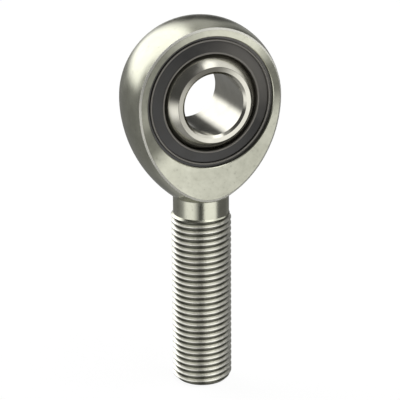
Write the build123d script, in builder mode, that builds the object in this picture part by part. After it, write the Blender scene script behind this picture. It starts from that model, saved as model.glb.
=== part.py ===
from build123d import *
from math import asin, atan, degrees, radians, sqrt, tan
import os

# A sealed male rod end for a 1/2 in bolt, with a 1/2-20 UNF right-hand thread.
# Millimetres. The origin is the centre of the ball, its bore runs along Y, the front
# side faces -Y, and the shank points down, along -Z.

# Head: a half sphere over a pointed arch, turned in one with the neck and cut by two flats
HEAD_RADIUS = 32.8 / 2
ARCH_RADIUS = 26
HEAD_WIDTH = 12.4
NECK_RADIUS = 5.8
NECK_FILLET = 0.2
FACE_CHAMFER = 0.3
SEAT_CHAMFER = 0.15

# Shank: the neck is turned just under the thread, whose crests are flat
THREAD_RADIUS = 6.23
THREAD_TOP_Z = -25.2
SHANK_END_Z = -61.9
END_CHAMFER = 1.1
END_FILLET = 0.5
PITCH = 1.27
CREST_FLAT = PITCH / 8
ROOT_FLAT = PITCH / 4
FLANK_ANGLE = 30
THREAD_DEPTH = (PITCH - CREST_FLAT - ROOT_FLAT) / 2 / tan(radians(FLANK_ANGLE))
CUTTER_OVERHANG = 0.1

# Ball
BALL_RADIUS = 22.225 / 2
BALL_WIDTH = 15.875
BORE_RADIUS = 12.7 / 2
BORE_CHAMFER = 0.5
BALL_EDGE_FILLET = 0.12

# Race halves and the liner bonded inside them
RUNNING_GAP = 0.02
LINER_THICKNESS = 0.28
RACE_RADIUS = 12.7
RACE_REACH = 4.8

# Seals: a steel carrier ring pressed in a counterbore, with the rubber moulded on it
SEAT_RADIUS = 13.5
CARRIER_THICKNESS = 0.4
CARRIER_BORE_RADIUS = 10.7
LIP_GAP = 0.03
LIP_ROOT_GAP = 0.05
LIP_TIP_Y = 5.2
SLOPE_TOP_Y = 6.0
SLOPE_FOOT_Y = 5.55
INNER_BEAD_Y = 6.15
INNER_BEAD_FOOT_Y = 5.85
OUTER_BEAD_Y = 5.9
RIM_GROOVE_Y = 5.5
OUTER_BEAD_RADIUS = 12.72
INNER_BEAD_RADIUS = 10.2
BEAD_HALF_WIDTH = 0.25
LIP_TIP_WIDTH = 0.25

HALF_WIDTH = HEAD_WIDTH / 2
LINER_INNER_RADIUS = BALL_RADIUS + RUNNING_GAP
LINER_OUTER_RADIUS = LINER_INNER_RADIUS + LINER_THICKNESS
liner_angle = degrees(asin(RACE_REACH / LINER_INNER_RADIUS))
race_angle = degrees(asin(RACE_REACH / LINER_OUTER_RADIUS))
carrier_top_y = RACE_REACH + CARRIER_THICKNESS
lip_root_y = RACE_REACH + LIP_ROOT_GAP
lip_tip_radius = sqrt(BALL_RADIUS**2 - LIP_TIP_Y**2) + LIP_GAP

# The arch leaves the sphere at its widest and runs down to the neck
arch_centre_x = HEAD_RADIUS - ARCH_RADIUS
neck_top_z = -sqrt(ARCH_RADIUS**2 - (NECK_RADIUS - arch_centre_x) ** 2)
arch_angle = degrees(asin(-neck_top_z / ARCH_RADIUS))
thread_rise = THREAD_RADIUS - NECK_RADIUS

ball_face_radius = sqrt(BALL_RADIUS**2 - (BALL_WIDTH / 2) ** 2)
ball_edge_angle = degrees(asin(BALL_WIDTH / 2 / BALL_RADIUS))

# One turn of the thread's groove, and the last turn, which climbs out of the shank
groove_half_root = ROOT_FLAT / 2
groove_half_mouth = groove_half_root + (THREAD_DEPTH + CUTTER_OVERHANG) * tan(radians(FLANK_ANGLE))


def groove_turn(runout_angle):
    """A full turn of the groove from z = 0 up to z = PITCH, on a helix that opens by runout_angle."""
    with BuildPart() as turn:
        with BuildLine() as route:
            Helix(pitch=PITCH, height=PITCH, radius=THREAD_RADIUS, cone_angle=runout_angle)
        with BuildSketch(Plane(origin=route.line @ 0, x_dir=(1, 0, 0), z_dir=(0, 1, 0))) as section:
            with BuildLine():
                Polyline(
                    (CUTTER_OVERHANG, groove_half_mouth),
                    (-THREAD_DEPTH, groove_half_root),
                    (-THREAD_DEPTH, -groove_half_root),
                    (CUTTER_OVERHANG, -groove_half_mouth),
                    close=True,
                )
            make_face()
        sweep(sections=section.sketch, path=route.line, is_frenet=True, clean=False)
    return turn.part


full_turn = groove_turn(0)
last_turn = groove_turn(degrees(atan(THREAD_DEPTH / PITCH)))
full_turns = int((THREAD_TOP_Z - SHANK_END_Z) / PITCH)
groove_bottom_z = THREAD_TOP_Z - full_turns * PITCH
groove_levels = [groove_bottom_z + i * PITCH for i in range(-1, full_turns)]

# ---------------------------------------------------------------- rod body
with BuildPart() as rod_body:
    with BuildSketch(Plane.XZ) as head_section:
        with BuildLine():
            top_arc = CenterArc((0, 0), HEAD_RADIUS, 0, 90)
            arch = CenterArc((arch_centre_x, 0), ARCH_RADIUS, 0, -arch_angle)
            neck = Line(arch @ 1, (NECK_RADIUS, THREAD_TOP_Z + thread_rise))
            shoulder = Line(neck @ 1, (THREAD_RADIUS, THREAD_TOP_Z))
            side = Line(shoulder @ 1, (THREAD_RADIUS, SHANK_END_Z + END_CHAMFER))
            bevel = Line(side @ 1, (THREAD_RADIUS - END_CHAMFER, SHANK_END_Z))
            end = Line(bevel @ 1, (0, SHANK_END_Z))
            Line(end @ 1, top_arc @ 1)
        make_face()
    revolve(axis=Axis.Z)
    neck_corner = rod_body.edges().filter_by(GeomType.CIRCLE).sort_by(
        lambda edge: abs(edge.center().Z - neck_top_z)
    )[0]
    fillet(neck_corner, NECK_FILLET)
    end_edge = rod_body.faces().sort_by(Axis.Z)[0].edges()
    fillet(end_edge, END_FILLET)
    with Locations([(0, 0, z) for z in groove_levels]):
        add(full_turn, mode=Mode.SUBTRACT, clean=False)
    with Locations((0, 0, groove_levels[-1] + PITCH)):
        add(last_turn, mode=Mode.SUBTRACT, clean=False)
    # The two flats, cut down to the neck only
    for side_sign in (1, -1):
        with BuildSketch(Plane.XZ.offset(side_sign * HALF_WIDTH)):
            with Locations((0, THREAD_TOP_Z)):
                Rectangle(4 * HEAD_RADIUS, 4 * HEAD_RADIUS, align=(Align.CENTER, Align.MIN))
        extrude(amount=side_sign * HEAD_RADIUS, mode=Mode.SUBTRACT, clean=False)
    flats = rod_body.faces().filter_by(Axis.Y).sort_by(Axis.Y)
    chamfer([flats[0].edges(), flats[-1].edges()], FACE_CHAMFER)
    # The bore for the race, and a counterbore each side for the seal
    with BuildSketch(Plane.XZ):
        Circle(RACE_RADIUS)
    extrude(amount=HEAD_WIDTH, both=True, mode=Mode.SUBTRACT, clean=False)
    for side_sign in (1, -1):
        with BuildSketch(Plane.XZ.offset(side_sign * RACE_REACH)):
            Circle(SEAT_RADIUS)
        extrude(amount=side_sign * HEAD_WIDTH, mode=Mode.SUBTRACT, clean=False)
    seat_edges = rod_body.edges().filter_by(GeomType.CIRCLE).filter_by(
        lambda edge: abs(edge.radius - SEAT_RADIUS) < 0.01 and abs(edge.center().Y) > RACE_REACH + 0.1
    )
    chamfer(seat_edges, SEAT_CHAMFER)
rod_body.part.label = "rod_body"

# ---------------------------------------------------------------- ball
with BuildPart() as ball:
    with BuildSketch(Plane.XY):
        with BuildLine():
            crown = CenterArc((0, 0), BALL_RADIUS, -ball_edge_angle, 2 * ball_edge_angle)
            Polyline(
                crown @ 1,
                (BORE_RADIUS, BALL_WIDTH / 2),
                (BORE_RADIUS, -BALL_WIDTH / 2),
                crown @ 0,
            )
        make_face()
    revolve(axis=Axis.Y)
    rims = ball.edges().filter_by(GeomType.CIRCLE).group_by(lambda edge: round(edge.radius, 2))
    chamfer(rims[0], BORE_CHAMFER)
    outer_rims = ball.edges().filter_by(GeomType.CIRCLE).filter_by(
        lambda edge: abs(edge.radius - ball_face_radius) < 0.01
    )
    fillet(outer_rims, BALL_EDGE_FILLET)
ball.part.label = "ball"


SIDES = {"front": -1, "rear": 1}
pieces = [rod_body.part, ball.part]

# ---------------------------------------------------------------- race halves, pressed in the head
for side_name, side_sign in SIDES.items():
    with BuildPart() as race:
        with BuildSketch(Plane.XY):
            with BuildLine():
                inside = CenterArc((0, 0), LINER_OUTER_RADIUS, 0, side_sign * race_angle)
                Polyline(
                    inside @ 1,
                    (RACE_RADIUS, side_sign * RACE_REACH),
                    (RACE_RADIUS, 0),
                    inside @ 0,
                )
            make_face()
        revolve(axis=Axis.Y)
    race.part.label = f"race_{side_name}"
    pieces.append(race.part)

# ---------------------------------------------------------------- self-lubricating liners
for side_name, side_sign in SIDES.items():
    with BuildPart() as liner:
        with BuildSketch(Plane.XY):
            with BuildLine():
                inside = CenterArc((0, 0), LINER_INNER_RADIUS, 0, side_sign * liner_angle)
                outside = CenterArc((0, 0), LINER_OUTER_RADIUS, 0, side_sign * race_angle)
                Line(inside @ 1, outside @ 1)
                Line(inside @ 0, outside @ 0)
            make_face()
        revolve(axis=Axis.Y)
    liner.part.label = f"liner_{side_name}"
    pieces.append(liner.part)

# ---------------------------------------------------------------- seal carriers
for side_name, side_sign in SIDES.items():
    with BuildPart() as carrier:
        with BuildSketch(Plane.XZ.offset(-side_sign * RACE_REACH)):
            Circle(SEAT_RADIUS)
            Circle(CARRIER_BORE_RADIUS, mode=Mode.SUBTRACT)
        extrude(amount=-side_sign * CARRIER_THICKNESS)
    carrier.part.label = f"seal_carrier_{side_name}"
    pieces.append(carrier.part)

# ---------------------------------------------------------------- rubber seal lips
for side_name, side_sign in SIDES.items():
    with BuildPart() as lip:
        with BuildSketch(Plane.XY):
            with BuildLine():
                inner_bead = ThreePointArc(
                    (INNER_BEAD_RADIUS - BEAD_HALF_WIDTH, side_sign * INNER_BEAD_FOOT_Y),
                    (INNER_BEAD_RADIUS, side_sign * INNER_BEAD_Y),
                    (INNER_BEAD_RADIUS + BEAD_HALF_WIDTH, side_sign * SLOPE_TOP_Y),
                )
                slope = Line(
                    inner_bead @ 1,
                    (OUTER_BEAD_RADIUS - BEAD_HALF_WIDTH, side_sign * SLOPE_FOOT_Y),
                )
                outer_bead = ThreePointArc(
                    slope @ 1,
                    (OUTER_BEAD_RADIUS, side_sign * OUTER_BEAD_Y),
                    (OUTER_BEAD_RADIUS + BEAD_HALF_WIDTH, side_sign * RIM_GROOVE_Y),
                )
                Polyline(
                    outer_bead @ 1,
                    (SEAT_RADIUS, side_sign * RIM_GROOVE_Y),
                    (SEAT_RADIUS, side_sign * carrier_top_y),
                    (CARRIER_BORE_RADIUS, side_sign * carrier_top_y),
                    (CARRIER_BORE_RADIUS, side_sign * lip_root_y),
                    (lip_tip_radius + LIP_TIP_WIDTH, side_sign * lip_root_y),
                    (lip_tip_radius, side_sign * LIP_TIP_Y),
                    inner_bead @ 0,
                )
            make_face()
        revolve(axis=Axis.Y)
    lip.part.label = f"seal_lip_{side_name}"
    pieces.append(lip.part)

os.makedirs("parts", exist_ok=True)
for piece in pieces:
    export_step(piece, f"parts/{piece.label}.step")
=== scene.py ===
"""Looks of a sealed male rod end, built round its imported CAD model. Metres."""

from math import cos, pi, radians, sin, tau

import bpy
from mathutils import Matrix, Vector


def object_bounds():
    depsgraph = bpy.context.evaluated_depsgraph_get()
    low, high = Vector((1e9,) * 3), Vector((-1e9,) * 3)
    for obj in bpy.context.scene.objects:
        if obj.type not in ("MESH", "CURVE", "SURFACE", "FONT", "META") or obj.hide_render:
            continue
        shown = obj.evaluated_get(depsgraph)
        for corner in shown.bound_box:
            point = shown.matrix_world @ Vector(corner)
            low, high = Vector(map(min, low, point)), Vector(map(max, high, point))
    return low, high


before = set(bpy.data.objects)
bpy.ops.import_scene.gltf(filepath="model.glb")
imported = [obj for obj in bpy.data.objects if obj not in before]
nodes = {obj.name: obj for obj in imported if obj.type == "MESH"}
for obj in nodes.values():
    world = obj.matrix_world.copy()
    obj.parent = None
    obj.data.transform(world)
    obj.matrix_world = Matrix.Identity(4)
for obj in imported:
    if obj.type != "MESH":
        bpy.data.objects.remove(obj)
cad_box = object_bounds()
scene = bpy.context.scene
scene.view_settings.view_transform = "Standard"

MM = 0.001

# Camera: a long lens, aimed at the middle of the part. Angles in degrees, lens and sensor in mm.
VIEW_AZIMUTH = -21.82
VIEW_ELEVATION = 18.93
VIEW_ROLL = -0.45
VIEW_DISTANCE = 0.3623
VIEW_LENS = 158.0
SENSOR_WIDTH = 36.0
CLIP_START = 0.01
AIM_HEIGHT = -22.33 * MM
AIM_RIGHT = 0.19 * MM

# Places on the CAD model. Its origin is the middle of the ball, and the bore runs along Y.
HEAD_FACE_Y = 6.2 * MM
HEAD_FOOT_Z = -21 * MM
HEAD_EDGE_WIDTH = 0.3 * MM
RIM_MIDDLE_RADIUS = 14.3 * MM
THREAD_TOP_Z = -25.2 * MM
THREAD_RADIUS = 6.23 * MM
THREAD_ROOT_RADIUS = 5.55 * MM
BALL_FACE_Y = 7.9375 * MM
BORE_EDGE_RADIUS = 6.75 * MM
OUTER_BEAD_RADIUS = 12.72 * MM
INNER_BEAD_RADIUS = 10.2 * MM

# Floor
FLOOR_GAP = 0.02 * MM
FLOOR_HALF_WIDTH = 3.0
FLOOR_GLOW = 0.93
FLOOR_GREY = (0.12, 0.12, 0.12, 1)

# Soft panels and dark flags round the part: name, azimuth of the middle from the front towards
# +X, elevation of the middle, half width, half height and edge softness, all in degrees, and
# brightness. Later ones cover earlier ones.
PANELS = (
    ("rear_left_top", -158, 44, 40, 40, 16, 2.3),
    ("rear_right_top", 150, 40, 26, 50, 20, 0.6),
    ("rear_flag", 158, 16, 13, 13, 8, 0.08),
    ("top", 30, 82, 180, 14, 12, 0.32),
    ("front_left_top", -78, 38, 42, 48, 16, 0.1),
    ("right_box_high", 47, 65, 42, 17, 12, 2.4),
    ("right_box", 78, 34, 22, 30, 12, 1.3),
    ("right_flag", 122, 20, 18, 40, 12, 0.12),
    ("left_strip", -68, -21, 25, 14, 24, 1.6),
    ("front_box", 17, -22, 27, 24, 10, 1.65),
    ("camera_gap", -22, -25, 10, 34, 8, 0.06),
    ("low_right_flag", 78, -22, 30, 24, 10, 0.19),
    ("rear_right_glow", 150, -14, 12, 12, 10, 0.36),
    ("rear_left_flag", -154, -24, 36, 24, 12, 0.26),
)
LIGHT_FROM_ABOVE = 0.42
LIGHT_FROM_BELOW = 0.45
HORIZON_BLEND = 0.2
WHITE = (1, 1, 1, 1)

# Sectors round the bore: the angle of the middle, from +X towards +Z, and the half width, in
# degrees, and the share. They are painted shade on the two turned faces, where their sheen is dark,
# and painted sheen on the rubber.
HEAD_FACE_SECTORS = ((16, 24, 0.75), (-50, 60, 0.25), (155, 50, 0.68), (208, 16, 0.7))
BALL_FACE_SECTORS = ((105, 48, 0.84), (190, 50, 0.42))
# Painted sheen on the rubber
RUBBER_SHEEN_SECTORS = ((38, 50, 0.5),)
# A sector is full up to the first part of its half width and gone at the second
SECTOR_FULL = 0.3
SECTOR_GONE = 1.5

# Colours
PLATING_DIM = (0.56, 0.56, 0.46, 1)
PLATING_BRIGHT = (0.65, 0.65, 0.54, 1)
PLATING_SPECK = (0.3, 0.29, 0.24, 1)
# Painted shade, for the thread roots and the dark sectors of the faces
PLATING_SHADE = (0.02, 0.02, 0.015, 1)
# Painted highlight on the thread flanks, and wear with a painted highlight on the face edge and the
# crests
LIGHT_STEEL = (0.97, 0.96, 0.88, 1)
BALL_DIM = (0.59, 0.575, 0.505, 1)
BALL_BRIGHT = (0.67, 0.655, 0.575, 1)
# Painted shade, for the dark sectors of the ball's faces
BALL_SHADE = (0.03, 0.026, 0.02, 1)
RUBBER_DARK = (0.012, 0.011, 0.009, 1)
RUBBER_PALE = (0.026, 0.024, 0.019, 1)
# Painted highlight and sheen on the rubber
RUBBER_HIGHLIGHT = (0.24, 0.225, 0.195, 1)
LINER_DARK = (0.3, 0.25, 0.16, 1)
LINER_PALE = (0.55, 0.48, 0.33, 1)
# Parts of a lightness, for the hidden steel
DULL_BRIGHT = (1, 1, 0.97)
DULL_DIM = (0.8, 0.8, 0.78)

# How much of a colour is laid over the plating
SPECK_SHARE = 0.35
# Painted shade in the thread roots
ROOT_SHADE_SHARE = 0.78
# Painted highlight on the thread flanks
FLANK_HIGHLIGHT_SHARE = 0.88
# Wear with a painted highlight on the face edge and the thread crests
WEAR_AND_HIGHLIGHT_SHARE = 0.9
# The noise value where specks start, and where they are full
SPECK_START = 0.62
SPECK_FULL = 0.72

# Roughness, or where there are two, those at the low and the high end of the noise or the weave
PLATING_ROUGHNESS = (0.2, 0.27)
FACE_ROUGHNESS = (0.3, 0.38)
THREAD_ROUGHNESS = (0.32, 0.42)
EDGE_ROUGHNESS = 0.5
BALL_ROUGHNESS = (0.17, 0.22)
BORE_ROUGHNESS = 0.17
RUBBER_ROUGHNESS = (0.3, 0.4)
LINER_ROUGHNESS = (0.8, 0.6)
# How strongly the rubber reflects
RUBBER_SPECULAR = 0.75


# ---------------------------------------------------------------- node helpers
class Nodes:
    """Short ways to add and link shader nodes in one tree."""

    def __init__(self, tree):
        self.tree = tree
        tree.nodes.clear()

    def add(self, kind, **settings):
        node = self.tree.nodes.new(kind)
        for name, value in settings.items():
            setattr(node, name, value)
        return node

    def put(self, socket, value):
        """Link a socket to the value, or set it to the value when that is a constant."""
        if isinstance(value, bpy.types.NodeSocket):
            self.tree.links.new(value, socket)
        else:
            socket.default_value = value

    def math(self, operation, *values):
        node = self.add("ShaderNodeMath", operation=operation)
        for socket, value in zip(node.inputs, values):
            self.put(socket, value)
        return node.outputs[0]

    def plus(self, first, second):
        return self.math("ADD", first, second)

    def minus(self, first, second):
        return self.math("SUBTRACT", first, second)

    def times(self, first, second):
        return self.math("MULTIPLY", first, second)

    def larger(self, first, second):
        return self.math("MAXIMUM", first, second)

    def size(self, value):
        return self.math("ABSOLUTE", value)

    def rest(self, share):
        """What a share leaves of the whole."""
        return self.minus(1.0, share)

    def reach(self, first, second):
        """Length of two coordinates taken together."""
        return self.math("SQRT", self.plus(self.times(first, first), self.times(second, second)))

    def axes(self, vector):
        split = self.add("ShaderNodeSeparateXYZ")
        self.put(split.inputs[0], vector)
        return split.outputs

    def step(self, value, low, high, at_low=0.0, at_high=1.0):
        """Smooth step from at_low to at_high as value goes from low to high."""
        node = self.add("ShaderNodeMapRange", interpolation_type="SMOOTHSTEP", clamp=True)
        for name, number in (("Value", value), ("From Min", low), ("From Max", high),
                             ("To Min", at_low), ("To Max", at_high)):
            self.put(node.inputs[name], number)
        return node.outputs["Result"]

    def spread(self, noise, low=0.0, high=1.0, margin=0.3):
        """Noise stretched to run from low to high, both reached a margin before its own limits."""
        return self.step(noise, margin, 1 - margin, low, high)

    # A Mix node has its sockets for numbers at 2 and 3, and those for colours at 6 and 7
    def mix(self, share, first, second):
        node = self.add("ShaderNodeMix", data_type="FLOAT")
        self.put(node.inputs[0], share)
        self.put(node.inputs[2], first)
        self.put(node.inputs[3], second)
        return node.outputs[0]

    def mix_colour(self, share, first, second):
        node = self.add("ShaderNodeMix", data_type="RGBA")
        self.put(node.inputs[0], share)
        self.put(node.inputs[6], first)
        self.put(node.inputs[7], second)
        return node.outputs[2]

    def noise(self, vector, scale, detail=3.0, roughness=0.5):
        node = self.add("ShaderNodeTexNoise")
        self.put(node.inputs["Vector"], vector)
        node.inputs["Scale"].default_value = scale
        node.inputs["Detail"].default_value = detail
        node.inputs["Roughness"].default_value = roughness
        return node.outputs["Fac"]


# ---------------------------------------------------------------- studio
def add_camera():
    azimuth, elevation = radians(VIEW_AZIMUTH), radians(VIEW_ELEVATION)
    backward = Vector((sin(azimuth) * cos(elevation), -cos(azimuth) * cos(elevation), sin(elevation)))
    right = Vector((cos(azimuth), sin(azimuth), 0))
    up = backward.cross(right)
    turn = Matrix((right, up, backward)).transposed() @ Matrix.Rotation(radians(VIEW_ROLL), 3, "Z")
    data = bpy.data.cameras.new("camera")
    data.lens = VIEW_LENS
    data.sensor_width = SENSOR_WIDTH
    data.clip_start = CLIP_START
    camera = bpy.data.objects.new("camera", data)
    scene.collection.objects.link(camera)
    aim = Vector((0, 0, AIM_HEIGHT)) - AIM_RIGHT * right
    camera.matrix_world = Matrix.Translation(aim + backward * VIEW_DISTANCE) @ turn.to_4x4()
    scene.camera = camera


def within(n, angle, half_size, softness):
    """1 up to the half size, with a soft edge. The angle is in radians, the sizes in degrees."""
    outside = radians(half_size + softness / 2)
    inside = radians(half_size - softness / 2)
    return n.step(n.size(angle), outside, inside)


def add_world():
    """A studio of soft panels, which only reflections and shading see; the camera sees plain white."""
    world = bpy.data.worlds.new("studio")
    world.use_nodes = True
    scene.world = world
    n = Nodes(world.node_tree)
    x, y, z = n.axes(n.add("ShaderNodeTexCoord").outputs["Generated"])
    azimuth = n.math("ARCTAN2", x, n.times(y, -1.0))
    elevation = n.math("ARCSINE", z)
    light = n.step(z, -HORIZON_BLEND, HORIZON_BLEND, LIGHT_FROM_BELOW, LIGHT_FROM_ABOVE)
    for name, panel_azimuth, panel_elevation, half_width, half_height, softness, brightness in PANELS:
        turn = n.math("WRAP", n.minus(azimuth, radians(panel_azimuth)), pi, -pi)
        rise = n.minus(elevation, radians(panel_elevation))
        across = within(n, turn, half_width, softness)
        upward = within(n, rise, half_height, softness)
        light = n.mix(n.times(across, upward), light, brightness)
        light.node.label = name
    studio = n.add("ShaderNodeBackground")
    n.put(studio.inputs["Strength"], light)
    plain = n.add("ShaderNodeBackground")
    plain.inputs["Color"].default_value = WHITE
    rays = n.add("ShaderNodeLightPath")
    chosen = n.add("ShaderNodeMixShader")
    n.put(chosen.inputs[0], rays.outputs["Is Camera Ray"])
    n.put(chosen.inputs[1], studio.outputs[0])
    n.put(chosen.inputs[2], plain.outputs[0])
    output = n.add("ShaderNodeOutputWorld")
    n.put(output.inputs["Surface"], chosen.outputs[0])


def add_floor():
    """A wide pale floor just under the shank."""
    half = FLOOR_HALF_WIDTH
    z = cad_box[0][2] - FLOOR_GAP
    corners = [(-half, -half, z), (half, -half, z), (half, half, z), (-half, half, z)]
    mesh = bpy.data.meshes.new("floor")
    mesh.from_pydata(corners, [], [(0, 1, 2, 3)])
    floor = bpy.data.objects.new("floor", mesh)
    scene.collection.objects.link(floor)
    material = bpy.data.materials.new("pale_floor")
    material.use_nodes = True
    n = Nodes(material.node_tree)
    glow = n.add("ShaderNodeEmission")
    glow.inputs["Strength"].default_value = FLOOR_GLOW
    matt = n.add("ShaderNodeBsdfDiffuse")
    matt.inputs["Color"].default_value = FLOOR_GREY
    both = n.add("ShaderNodeAddShader")
    n.put(both.inputs[0], glow.outputs[0])
    n.put(both.inputs[1], matt.outputs[0])
    output = n.add("ShaderNodeOutputMaterial")
    n.put(output.inputs["Surface"], both.outputs[0])
    mesh.materials.append(material)
    floor.visible_glossy = False
    floor.visible_diffuse = False


# ---------------------------------------------------------------- materials
def start_material(name, metallic):
    """A material with its node tree, its Principled shader and the object coordinates in it."""
    material = bpy.data.materials.new(name)
    material.use_nodes = True
    n = Nodes(material.node_tree)
    shader = n.add("ShaderNodeBsdfPrincipled")
    shader.inputs["Metallic"].default_value = metallic
    output = n.add("ShaderNodeOutputMaterial")
    n.put(output.inputs["Surface"], shader.outputs[0])
    place = n.add("ShaderNodeTexCoord").outputs["Object"]
    return material, n, shader, place


def relief(n, shader, height, strength, distance):
    """Bump from a height, where a height of 1 stands for the distance, in millimetres."""
    bump = n.add("ShaderNodeBump")
    bump.inputs["Strength"].default_value = strength
    bump.inputs["Distance"].default_value = distance * MM
    n.put(bump.inputs["Height"], height)
    n.put(shader.inputs["Normal"], bump.outputs[0])


def rings(n, distance, pitch):
    """Fine ridges, from 0 to 1, that repeat each pitch, in millimetres, along a distance."""
    wave = n.math("SINE", n.times(distance, tau / (pitch * MM)))
    return n.step(wave, -1.0, 1.0)


def in_sectors(n, x, z, sectors):
    """Share, from 0 to 1, of the soft sectors round the bore, taken together where they overlap."""
    around = n.math("ARCTAN2", z, x)
    left_out = 1.0
    for middle, half_width, share in sectors:
        away = n.size(n.math("WRAP", n.minus(around, radians(middle)), pi, -pi))
        gone, full = radians(half_width * SECTOR_GONE), radians(half_width * SECTOR_FULL)
        sector = n.step(away, gone, full, 0.0, share)
        left_out = n.times(left_out, n.rest(sector))
    return n.rest(left_out)


def past(n, value, mark, none_at, full_at):
    """0 to 1 as a value goes from one distance to another from a mark, in millimetres."""
    return n.step(value, mark + none_at * MM, mark + full_at * MM)


def near_radius(n, distance, radius, none_at, full_at):
    """1 near a radius, falling off between two distances from it, in millimetres."""
    return past(n, n.size(n.minus(distance, radius)), 0, none_at, full_at)


def plated_steel():
    """Plated steel, turned about the shank outside and about the bore on the two faces."""
    material, n, shader, place = start_material("plated_steel", metallic=1.0)
    x, y, z = n.axes(place)
    from_bore = n.reach(x, z)
    from_shank = n.reach(x, y)
    depth = n.size(y)
    cloud = n.noise(place, scale=260, detail=4)
    specks = n.noise(place, scale=1500, roughness=0.6)

    # The flat faces, and the edge round them, lighter with wear and a painted highlight
    on_head = past(n, z, HEAD_FOOT_Z, -1, 0)
    on_face = n.times(past(n, depth, HEAD_FACE_Y, -0.03, -0.01), on_head)
    near_face = n.times(past(n, depth, HEAD_FACE_Y - HEAD_EDGE_WIDTH, -0.06, 0.02), on_head)
    outer_half = past(n, from_bore, RIM_MIDDLE_RADIUS, -0.1, 0.1)
    on_edge = n.times(n.minus(near_face, on_face), outer_half)

    # The thread: painted shade in the roots, painted highlight on the flanks, and crests lighter with
    # wear and a painted highlight
    in_thread = past(n, z, THREAD_TOP_Z, 0.3, -0.2)
    in_root = n.times(past(n, from_shank, THREAD_ROOT_RADIUS, 0.37, 0), in_thread)
    on_crest = n.times(past(n, from_shank, THREAD_RADIUS, -0.18, -0.05), in_thread)
    on_flank = n.times(in_thread, n.rest(in_root))

    colour = n.mix_colour(n.spread(cloud), PLATING_DIM, PLATING_BRIGHT)
    speck = n.step(specks, SPECK_START, SPECK_FULL, 0.0, SPECK_SHARE)
    colour = n.mix_colour(speck, colour, PLATING_SPECK)
    # Painted shade: darker sectors of the face, where its turned sheen is dark
    face_shade = n.times(in_sectors(n, x, z, HEAD_FACE_SECTORS), on_face)
    # Painted shade in the thread roots as well
    shade = n.larger(face_shade, n.times(in_root, ROOT_SHADE_SHARE))
    colour = n.mix_colour(shade, colour, PLATING_SHADE)
    # Painted highlight on the thread flanks
    colour = n.mix_colour(n.times(on_flank, FLANK_HIGHLIGHT_SHARE), colour, LIGHT_STEEL)
    # Wear with a painted highlight on the face edge and the thread crests
    wear_and_highlight = n.times(n.larger(on_edge, on_crest), WEAR_AND_HIGHLIGHT_SHARE)
    n.put(shader.inputs["Base Color"], n.mix_colour(wear_and_highlight, colour, LIGHT_STEEL))

    body_roughness = n.spread(cloud, *PLATING_ROUGHNESS)
    roughness = n.mix(on_face, body_roughness, n.spread(specks, *FACE_ROUGHNESS))
    thread_roughness = n.spread(specks, *THREAD_ROUGHNESS, margin=0.35)
    roughness = n.mix(in_thread, roughness, thread_roughness)
    n.put(shader.inputs["Roughness"], n.mix(on_edge, roughness, EDGE_ROUGHNESS))

    face_rings = n.times(rings(n, from_bore, pitch=0.16), on_face)
    shank_rings = n.times(rings(n, z, pitch=0.11), n.rest(on_face))
    height = n.plus(face_rings, n.times(shank_rings, 0.5))
    height = n.plus(height, n.times(specks, 0.6))
    relief(n, shader, height, strength=0.35, distance=0.003)
    return material


def ball_steel():
    """Hardened steel, ground and polished about the bore."""
    material, n, shader, place = start_material("ball_steel", metallic=1.0)
    x, y, z = n.axes(place)
    cloud = n.noise(place, scale=300, detail=4)
    in_bore = past(n, n.reach(x, z), BORE_EDGE_RADIUS, 0.15, -0.15)
    on_face = past(n, n.size(y), BALL_FACE_Y, -0.04, -0.01)
    colour = n.mix_colour(n.spread(cloud), BALL_DIM, BALL_BRIGHT)
    # Painted shade: darker sectors of the ball's faces, where their sheen is dark
    face_shade = n.times(in_sectors(n, x, z, BALL_FACE_SECTORS), on_face)
    n.put(shader.inputs["Base Color"], n.mix_colour(face_shade, colour, BALL_SHADE))
    roughness = n.mix(in_bore, n.spread(cloud, *BALL_ROUGHNESS), BORE_ROUGHNESS)
    n.put(shader.inputs["Roughness"], roughness)
    height = n.plus(rings(n, y, pitch=0.07), cloud)
    relief(n, shader, height, strength=0.2, distance=0.001)
    return material


def dull_steel(name, light, roughness):
    """Plain steel of the hidden rings, with a fine grain."""
    material, n, shader, place = start_material(name, metallic=1.0)
    cloud = n.noise(place, scale=300, detail=4)
    bright = tuple(light * part for part in DULL_BRIGHT) + (1,)
    dim = tuple(light * part for part in DULL_DIM) + (1,)
    n.put(shader.inputs["Base Color"], n.mix_colour(n.spread(cloud), dim, bright))
    n.put(shader.inputs["Roughness"], n.spread(cloud, roughness - 0.05, roughness + 0.05))
    grain = n.noise(place, scale=4000, detail=2)
    relief(n, shader, grain, strength=0.3, distance=0.004)
    return material


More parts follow.
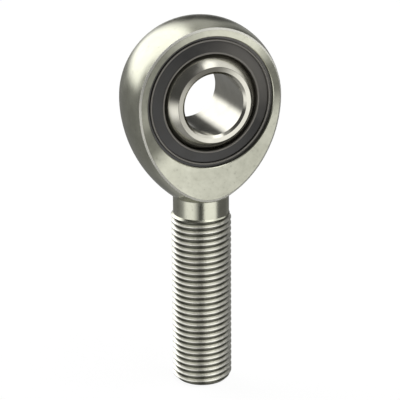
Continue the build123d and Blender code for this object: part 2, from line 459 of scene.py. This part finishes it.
def rubber():
    """Moulded rubber, with a painted highlight along its two beads and a painted sheen on one side."""
    material, n, shader, place = start_material("seal_rubber", metallic=0.0)
    x, _, z = n.axes(place)
    from_bore = n.reach(x, z)
    cloud = n.noise(place, scale=420, detail=4)
    outer_bead = near_radius(n, from_bore, OUTER_BEAD_RADIUS, none_at=0.22, full_at=0.1)
    inner_bead = near_radius(n, from_bore, INNER_BEAD_RADIUS, none_at=0.25, full_at=0.1)
    # Painted highlight along the two beads, and painted sheen in one sector
    painted_light = n.larger(n.larger(outer_bead, inner_bead), in_sectors(n, x, z, RUBBER_SHEEN_SECTORS))
    colour = n.mix_colour(n.spread(cloud), RUBBER_DARK, RUBBER_PALE)
    n.put(shader.inputs["Base Color"], n.mix_colour(painted_light, colour, RUBBER_HIGHLIGHT))
    n.put(shader.inputs["Roughness"], n.spread(cloud, *RUBBER_ROUGHNESS, margin=0.35))
    shader.inputs["Specular IOR Level"].default_value = RUBBER_SPECULAR
    grain = n.noise(place, scale=5000, detail=2)
    relief(n, shader, grain, strength=0.25, distance=0.004)
    return material


def liner_fabric():
    """Woven liner: two sets of threads crossing."""
    material, n, shader, place = start_material("liner_fabric", metallic=0.0)
    x, y, z = n.axes(place)
    weave = n.times(rings(n, y, pitch=0.4), rings(n, n.plus(x, z), pitch=0.4))
    n.put(shader.inputs["Base Color"], n.mix_colour(weave, LINER_DARK, LINER_PALE))
    n.put(shader.inputs["Roughness"], n.step(weave, 0.0, 1.0, *LINER_ROUGHNESS))
    relief(n, shader, weave, strength=0.5, distance=0.03)
    return material


def dress(names, material):
    """Put a material on every slot of the named nodes."""
    for name in names:
        for slot in nodes[name].material_slots:
            slot.material = material


add_camera()
add_world()
add_floor()
dress(["rod_body"], plated_steel())
dress(["ball"], ball_steel())
dress(["race_front", "race_rear"], dull_steel("race_steel", light=0.45, roughness=0.3))
dress(["seal_carrier_front", "seal_carrier_rear"],
      dull_steel("carrier_steel", light=0.3, roughness=0.45))
dress(["liner_front", "liner_rear"], liner_fabric())
dress(["seal_lip_front", "seal_lip_rear"], rubber())
